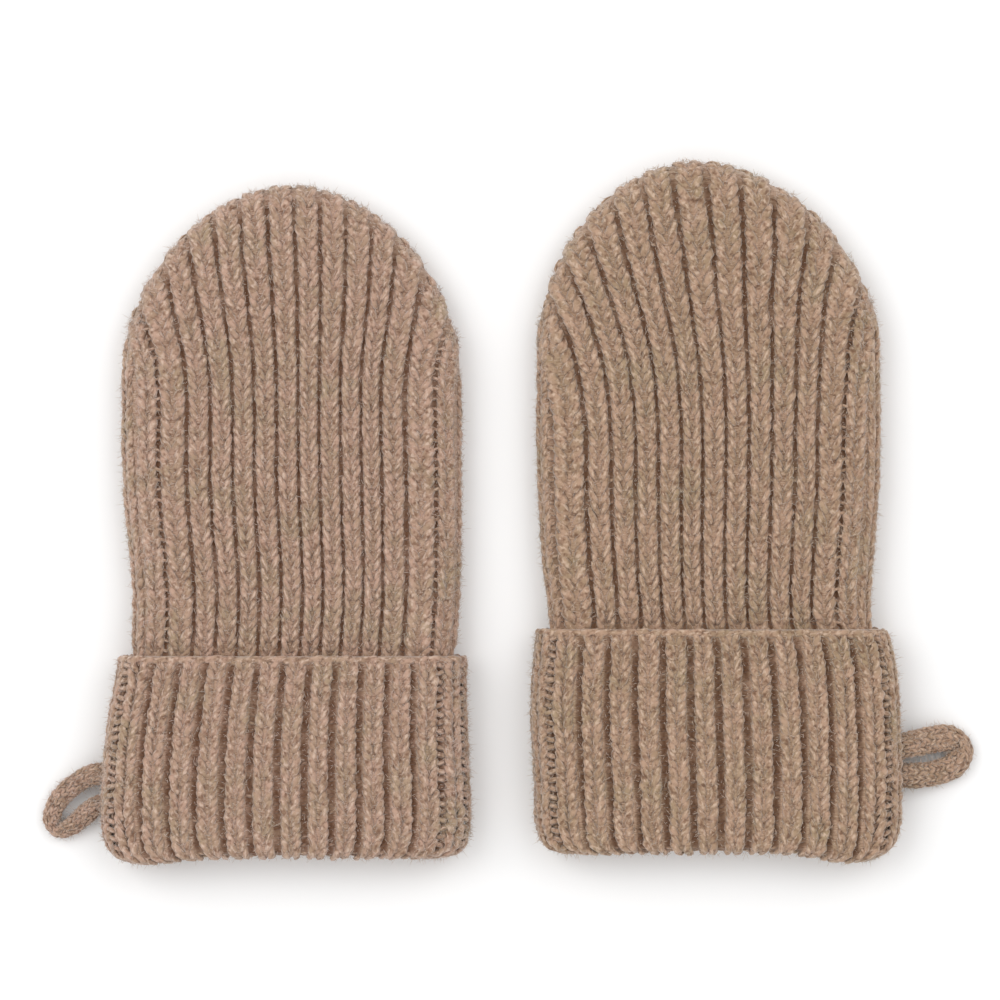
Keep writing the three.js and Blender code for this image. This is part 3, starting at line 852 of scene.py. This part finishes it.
CUFF_LEG = np.array([
    (0.14, -0.86, 0.04, 0.15, 0.30),
    (0.25, -0.46, 0.60, 0.24, 0.48),
    (0.38, 0.00, 0.80, 0.27, 0.54),
    (0.50, 0.46, 0.68, 0.25, 0.48),
    (0.55, 0.96, 0.16, 0.19, 0.34),
])


def cuff_half(mitten, y):
    rounded = CUFF_REACH * (1 - roll(y - mitten["fold_end"], CORNER_RUN))
    return follow(mitten, HALF, y) + LIFT - rounded


def full_half(mitten):
    """Half the width of the cuff where the loop is."""
    return float(cuff_half(mitten, mitten["loop"][0, 1]))


def cuff_height(inset, depth, upper):
    flat = np.maximum(UNDER_KNIT + depth * (CLOTH - UNDER_KNIT) / CLOTH, depth)
    flat = np.where(depth < 0, UNDER_KNIT + depth, flat)
    over = CUFF_SIDE + (CUFF_TOP - depth - CUFF_SIDE) * swell(inset)
    under = CUFF_SIDE + (flat - CUFF_SIDE) * roll(inset, CUFF_UNDER_ROLL)
    return np.where(upper, over, under)


def cuff_path(mitten):
    """The grooved face of the cuff down one column, around the fold and up inside the mouth,
    as distances, heights, depths and the direction out of the cloth."""
    turn = np.linspace(0, math.pi, 60)
    fold = mitten["fold_end"]
    ys = np.concatenate([
        np.linspace(mitten["cuff_edge"] - 0.3, fold + FOLD_DEPTH, 60)[:-1],
        fold + FOLD_DEPTH - (FOLD_DEPTH - STITCH) * np.sin(turn),
        np.linspace(fold + FOLD_DEPTH, fold + LEG - 0.6, 20)[1:],
    ])
    depths = np.concatenate([
        np.zeros(59), INNER / 2 * (1 - np.cos(turn)), np.full(19, INNER)
    ])
    out_y = np.concatenate([np.zeros(59), -np.sin(turn), np.zeros(19)])
    out_depth = np.concatenate([np.full(59, -1.0), -np.cos(turn), np.ones(19)])
    return distances(np.stack([ys, depths], axis=1)), ys, depths, out_y, out_depth


def dip(mitten, x, y):
    """How far the fold hangs lower near one corner."""
    sag = mitten["sag"] * np.exp(-(((x - mitten["sag_at"]) / SAG_RUN) ** 2))
    from_y = mitten["cuff_edge"] - SAG_FROM
    return sag * np.clip((from_y - y) / (from_y - mitten["fold_end"] - FOLD_DEPTH), 0, 1)


CUFF_ARCS, CUFF_INSETS = arcs_over_side(
    CUFF_TOP - CUFF_SIDE, CUFF_SIDE - UNDER_KNIT, CUFF_UNDER_ROLL
)


def cuff_column(mitten, half_width, across=None, side=0, centre_arc=0.0, upper=True):
    """One rib of the cuff, on a panel at a place across it or around one of its sides."""
    lengths, ys, depths, out_y, out_depth = cuff_path(mitten)
    full = full_half(mitten)

    def place(u, s, h):
        y = np.interp(s, lengths, ys)
        depth = np.interp(s, lengths, depths) + h * np.interp(s, lengths, out_depth)
        y = y + h * np.interp(s, lengths, out_y)
        half = cuff_half(mitten, y) - depth
        if side:
            around = np.interp(centre_arc + u, CUFF_ARCS, CUFF_INSETS)
            inset = np.abs(around)
            offset = side * (half - inset)
            over = around >= 0
        else:
            offset = (across + u) * half / full
            inset = half - np.abs(offset)
            over = upper
        x = follow(mitten, MIDDLE, y) + offset
        z = np.maximum(cuff_height(inset, depth, over), 0.03)
        return np.stack([x, y - dip(mitten, x, y), z], axis=-1)

    return place, lengths[-1], half_width


def cuff_columns(mitten):
    """All ribs around the cuff, in the same order as those of the hand."""
    full = full_half(mitten)
    pitch = mitten["cuff_pitch"]
    grooves = np.arange(mitten["cuff_first"], full - 2, pitch)
    columns = [cuff_column(mitten, pitch / 2, across=g + pitch / 2) for g in grooves[:-1]]
    shown = len(columns)
    reach_under = []
    for side, groove in ((-1, grooves[0]), (1, grooves[-1])):
        arc = float(np.interp(full - abs(groove), CUFF_INSETS, CUFF_ARCS))
        while arc > -CUFF_TURN:
            columns.append(
                cuff_column(mitten, pitch / 2, side=side, centre_arc=arc - pitch / 2)
            )
            arc -= pitch
        reach_under.append(side * (full + float(np.interp(arc, CUFF_ARCS, CUFF_INSETS))))
    turned = len(columns)
    low, high = reach_under
    bounds = np.linspace(low, high, round((high - low) / pitch) + 1)
    for a, b in zip(bounds[:-1], bounds[1:]):
        columns.append(cuff_column(mitten, (b - a) / 2, across=(a + b) / 2, upper=False))
    return columns, shown, turned


def cuff_cloth(name, mitten, material):
    """The wall of the cuff under its stitches: the folded section carried around the mouth."""
    full = full_half(mitten)
    edge, fold = mitten["cuff_edge"], mitten["fold_end"]
    turn = np.linspace(0, math.pi, 9)
    # height, depth, and the way the ribs stand out of the wall there
    section = [(edge - below, 0.0, 0.0, -1.0) for below in (0.5, 1.6, 3, 5, 10, 18, 26, 32)]
    section += [
        (
            fold + FOLD_DEPTH - (FOLD_DEPTH - STITCH) * math.sin(a),
            INNER / 2 * (1 - math.cos(a)), -math.sin(a), -math.cos(a),
        )
        for a in turn
    ]
    section += [(fold + LEG, INNER, 0.0, 0.0), (fold + LEG, CLOTH, 0.0, 0.0)]
    section += [(edge - below, CLOTH, 0.0, 0.0) for below in (32, 18, 7, 0.5)]
    section += [(edge - 0.1, CLOTH / 2, 0.0, 0.0)]
    ys, depths, out_y, out_depth = (np.array(row) for row in zip(*section))
    grooves = np.arange(mitten["cuff_first"], full - 2, mitten["cuff_pitch"])
    over, rise = rib_relief(grooves, full, 0.1, 1.15)
    rings, deep = [], []
    for upper, across, lift in (
        (True, over, rise), (False, over[-2:0:-1], rise[-2:0:-1])
    ):
        half = cuff_half(mitten, ys)[None] - depths[None]
        offset = across[:, None] * half / full
        x = follow(mitten, MIDDLE, ys)[None] + offset
        fade = 0.8 * (1 - smooth_step(edge - ys, 0.5, 3.5))[None] * (depths == 0)
        height = lift[:, None] * (1 - fade) + fade
        outer = depths + WALL_RIB * height * out_depth
        z = cuff_height(half - np.abs(offset), outer, upper)
        y = ys + WALL_RIB * height * out_y - dip(mitten, x, ys[None])
        rings.append(np.stack([x, y, z], axis=-1))
        # Painted shade on the wall: darker in the grooves, less at the cuff's edge
        deep.append(np.maximum(1 - height, 0).ravel())
    points = np.concatenate(rings)
    count, steps = points.shape[:2]
    i, k = np.meshgrid(np.arange(count), np.arange(steps), indexing="ij")
    j, l = (i + 1) % count, (k + 1) % steps
    quads = np.stack([
        i * steps + k, i * steps + l, j * steps + l, j * steps + k
    ], -1).reshape(-1, 4)
    flat = points.reshape(-1, 3)
    uv = flat[quads.ravel()][:, :2]
    return make_piece(name, flat, quads, NO_CAPS, uv, np.concatenate(deep), material)


def cast_off(columns, chance):
    """The chain of stitches along the cuff's edge, two links to a rib."""
    parts = []
    for place, _, half_width in columns:
        for way in (-0.5, 0.5):
            wobble = chance.normal(0, 1, 3)
            reach_u = half_width * 0.72
            u = way * half_width + np.array([[-1, -0.5, 0, 0.5, 1]]) * reach_u
            s = np.array([[0.95, 0.75, 0.6, 0.4, 0.2]]) + wobble[0] * 0.12
            h = np.array([[0.0, 0.42, 0.62, 0.42, 0.0]]) + wobble[1] * 0.05
            out, _ = lie_of(place, u, s, h)
            wide = np.array([[0.4, 0.72, 0.8, 0.72, 0.4]]) * (1 + 0.06 * wobble[2])
            # the links get less painted shade than their height alone gives
            parts.append(tubes(place(u, s, h), out, wide, wide * 0.75, 7, h + 0.3, chance))
    return parts


def cuff_stitches(name, mitten, material):
    chance = np.random.default_rng(mitten["seed"] + 2)
    columns, shown, turned = cuff_columns(mitten)
    parts = []
    for i, column in enumerate(columns):
        leg = CUFF_LEG if i < shown else CUFF_LEG * WIDER
        sides = 6 if i < shown else 5 if i < turned else 4
        parts += stitch_legs(
            column, mitten["cuff_row"], leg, chance, sides, down=True, first=1.0
        )
    for column in columns[:shown - 1]:
        parts += purl_bars(column, 1, mitten["cuff_row"], chance, 0.8, 0.0)
    # The outermost groove of the panel and the next one around each side
    right_side = shown + (turned - shown) // 2
    for column, way, rise in (
        (columns[0], -1, 0.5), (columns[shown - 1], 1, 0.35),
        (columns[shown], -1, 0.5), (columns[right_side], -1, 0.5),
    ):
        parts += purl_bars(column, way, mitten["cuff_row"], chance, 0.7, rise, SIDE_BAR)
    parts += cast_off(columns, chance)
    return make_piece(name, *joined(parts), material)


left_cuff = cuff_cloth("left_cuff_cloth", LEFT, left_wool)
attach(left_cuff, "root")
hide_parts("left_cuff")
left_cuff_stitches = cuff_stitches("left_cuff_stitches", LEFT, left_wool)
left_cuff_fuzz = fibres_on(
    "left_cuff_fuzz", *cuff_columns(LEFT), 6600, LEFT["seed"] + 3, left_bloom, 1.05
)
for piece in (left_cuff_stitches, left_cuff_fuzz):
    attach(piece, "root")


# The left loop: a narrow knitted band folded double, both ends sewn into the side of the cuff,
# that hangs the mitten on a peg or a string.
LOOP_THICK = 3.6
CREASE = 1.2            # depth of the fold where the band turns back
LOOP_ROW = 1.25
LOOP_YARN = 0.55        # depth of the stitches in the band
LOOP_REACH = 2.1        # distance around the band for each radian
LOOP_RINGS = 90
LOOP_SIDES = 12
LOOP_LEG = np.array([
    (0.08, -0.60, 0.00, 0.28, 0.22),
    (0.28, -0.34, 0.20, 0.44, 0.30),
    (0.50, 0.00, 0.27, 0.50, 0.33),
    (0.74, 0.34, 0.20, 0.44, 0.30),
    (0.94, 0.60, 0.00, 0.28, 0.22),
])


def loop_line(mitten):
    """Middle of the loop and its width along it, from the cuff and back to it."""
    rows = mitten["loop"].copy()
    for k in (0, -1):
        out = float(cuff_half(mitten, rows[k, 1])) + 0.2
        rows[k, 0] = float(follow(mitten, MIDDLE, rows[k, 1])) + mitten["side"] * out
    steps = np.linalg.norm(np.diff(rows[:, :3], axis=0), axis=1) ** 0.5
    knots = np.concatenate([[0], np.cumsum(steps)])
    slopes = np.gradient(rows, knots, axis=0)
    return between(knots, rows, slopes, np.linspace(0, knots[-1], 400))


def loop_columns(mitten):
    """Eight columns of small stitches around the band, and how deep each is creased."""
    line = loop_line(mitten)
    lengths = distances(line[:, :3])
    heading = unit(np.gradient(line[:, :2], axis=0))
    fold_at = lengths[np.argmin(np.hypot(*(line[:, :2] - mitten["crease"]).T))]

    def column(angle):
        def crease(u, s):
            turn = angle + u / LOOP_REACH
            inside = np.clip(0.7 - mitten["side"] * np.cos(turn), 0, 1) * (np.sin(turn) > -0.3)
            return inside * np.exp(-(((s - fold_at) / 0.65) ** 2))

        def place(u, s, h):
            x, y, z, width = (np.interp(s, lengths, line[:, k]) for k in range(4))
            head_x, head_y = (np.interp(s, lengths, heading[:, k]) for k in range(2))
            turn = angle + u / LOOP_REACH
            h = h - CREASE * crease(u, s) - LOOP_YARN
            wide = width / 2 + h
            thick = LOOP_THICK / 2 + h
            return np.stack([
                x - head_y * wide * np.cos(turn), y + head_x * wide * np.cos(turn),
                np.maximum(z + thick * np.sin(turn), 0.03),
            ], -1)

        return (place, lengths[-1], 0.84), crease

    return tuple(zip(*(column(math.radians(22.5 + 45 * k)) for k in range(8))))


def loop_cloth(name, mitten, material):
    place, length, _ = loop_columns(mitten)[0][0]
    sides, count = LOOP_SIDES, LOOP_RINGS
    s = np.linspace(0, length, count)[:, None]
    u = (np.arange(sides) / sides * 2 * math.pi * LOOP_REACH)[None]
    rings = place(u + 0 * s, s + 0 * u, np.full((count, sides), 0.1))
    points = np.concatenate([
        rings.reshape(-1, 3), rings[0].mean(0)[None], rings[-1].mean(0)[None]
    ])
    i, k = np.meshgrid(np.arange(count - 1), np.arange(sides), indexing="ij")
    l = (k + 1) % sides
    quads = np.stack([
        i * sides + k, i * sides + l, (i + 1) * sides + l, (i + 1) * sides + k
    ], -1).reshape(-1, 4)
    k = np.arange(sides)
    l = (k + 1) % sides
    first, last, base = count * sides, count * sides + 1, (count - 1) * sides
    caps = np.concatenate([
        np.stack([np.full(sides, first), l, k], -1),
        np.stack([np.full(sides, last), base + k, base + l], -1),
    ])
    uv = points[np.concatenate([quads.ravel(), caps.ravel()])][:, :2]
    # an even, light painted shade over the whole core of the band
    return make_piece(name, points, quads, caps, uv, np.full(len(points), 0.2), material)


def loop_stitches(name, mitten, material):
    chance = np.random.default_rng(mitten["seed"] + 4)
    parts = []
    for column, crease in zip(*loop_columns(mitten)):
        # Painted shade: the band's stitches are lifted out of most of it, and painted darker in
        # the crease
        parts += stitch_legs(
            column, LOOP_ROW, LOOP_LEG, chance, 5, shade=lambda u, s: 0.62 - 1.5 * crease(u, s)
        )
    return make_piece(name, *joined(parts), material)


left_loop = loop_cloth("left_loop_cord", LEFT, left_wool)
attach(left_loop, "root")
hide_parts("left_loop")
left_loop_stitches = loop_stitches("left_loop_stitches", LEFT, left_wool)
left_loop_fuzz = fibres_on(
    "left_loop_fuzz", loop_columns(LEFT)[0], 8, 8, 1100, LEFT["seed"] + 5,
    left_bloom, 0.45,
)
for piece in (left_loop_stitches, left_loop_fuzz):
    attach(piece, "root")


# The right mitten: knitted to the same pattern from a slightly browner skein, a few rows
# longer, with a narrower waist above its cuff and ribs that fan out more in the dome.
RIGHT = {
    "side": 1, "dome_base": 34.1, "tip": 73.0, "tip_lean": -2.5,
    "cuff_edge": -24.3, "fold_end": -71.6, "sag": 1.9, "sag_at": 71.3,
    "cuff_first": -34.3, "cuff_pitch": 5.8,
    "grooves": [-33, -25.8, -20.6, -15.5, -10.7, -5.9, -1.5, 3.4, 8.2, 13, 17.9, 22.5, 28.1],
    "sections": np.array([
        (-73, 43.9, 35, 1, 0), (-58, 43.9, 35.3, 1, 0), (-40, 43.3, 35.5, 1, 0),
        (-30, 43.1, 34.6, 1, 0), (-21, 42.2, 33.1, 1, 0), (-10, 41.9, 34, 1, 0),
        (5.8, 42, 35.1, 1, 0), (18, 42, 35.3, 1, 0), (32, 42, 35.2, 1.06, -0.7),
        (44.6, 42, 35.2, 1.18, -2.4), (57, 42, 35.2, 1.35, -3.9), (75, 42, 35.2, 1.46, -6.2),
    ]),
    "loop": np.array([
        (82.3, -49.3, 5, 5.2), (85.2, -48.6, 4.4, 5.7), (88.8, -47.9, 3, 5.8),
        (91.8, -47.5, 2.1, 5.8), (94.2, -48.2, 1.85, 5.5), (95.4, -50.3, 1.85, 5.3),
        (94.5, -52.7, 1.85, 5.3), (92, -54.2, 2, 5.5), (89, -55, 2.6, 5.5),
        (85.8, -55.3, 3.6, 5.5), (82.3, -55.2, 4.4, 5.2),
    ]),
    "crease": (95.0, -49.2),
    "hand_row": 2.27, "cuff_row": 1.74, "seed": 47,
}

# The last tone is no yarn colour but the painted shade deep in the knitting
right_wool = wool(
    "right_wool", (
        (156, 128, 103), (175, 143, 120), (151, 132, 102), (105, 73, 50),
        (198, 173, 151), (90, 57, 33),
    ),
)
right_bloom = bloom(
    "right_bloom", (
        (204, 189, 174), (212, 193, 180), (194, 187, 170), (168, 147, 128),
        (218, 203, 190),
    ),
)

right_hand = hand_cloth("right_hand_cloth", RIGHT, right_wool)
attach(right_hand, "root")
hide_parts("right_hand")
right_hand_stitches = hand_stitches("right_hand_stitches", RIGHT, right_wool)
right_hand_fuzz = fibres_on(
    "right_hand_fuzz", *hand_columns(RIGHT, RIGHT["cuff_edge"]), 9100, RIGHT["seed"] + 1,
    right_bloom, 0.95, ends=0.14,
)
for piece in (right_hand_stitches, right_hand_fuzz):
    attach(piece, "root")


# The right cuff, folded up as the left one, but 5 mm deeper.
right_cuff = cuff_cloth("right_cuff_cloth", RIGHT, right_wool)
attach(right_cuff, "root")
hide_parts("right_cuff")
right_cuff_stitches = cuff_stitches("right_cuff_stitches", RIGHT, right_wool)
right_cuff_fuzz = fibres_on(
    "right_cuff_fuzz", *cuff_columns(RIGHT), 6600, RIGHT["seed"] + 3, right_bloom, 1.05
)
for piece in (right_cuff_stitches, right_cuff_fuzz):
    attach(piece, "root")


# The right loop: the same band, sewn in higher up and lying straight out from the cuff.
right_loop = loop_cloth("right_loop_cord", RIGHT, right_wool)
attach(right_loop, "root")
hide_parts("right_loop")
right_loop_stitches = loop_stitches("right_loop_stitches", RIGHT, right_wool)
right_loop_fuzz = fibres_on(
    "right_loop_fuzz", loop_columns(RIGHT)[0], 8, 8, 1100, RIGHT["seed"] + 5,
    right_bloom, 0.45,
)
for piece in (right_loop_stitches, right_loop_fuzz):
    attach(piece, "root")
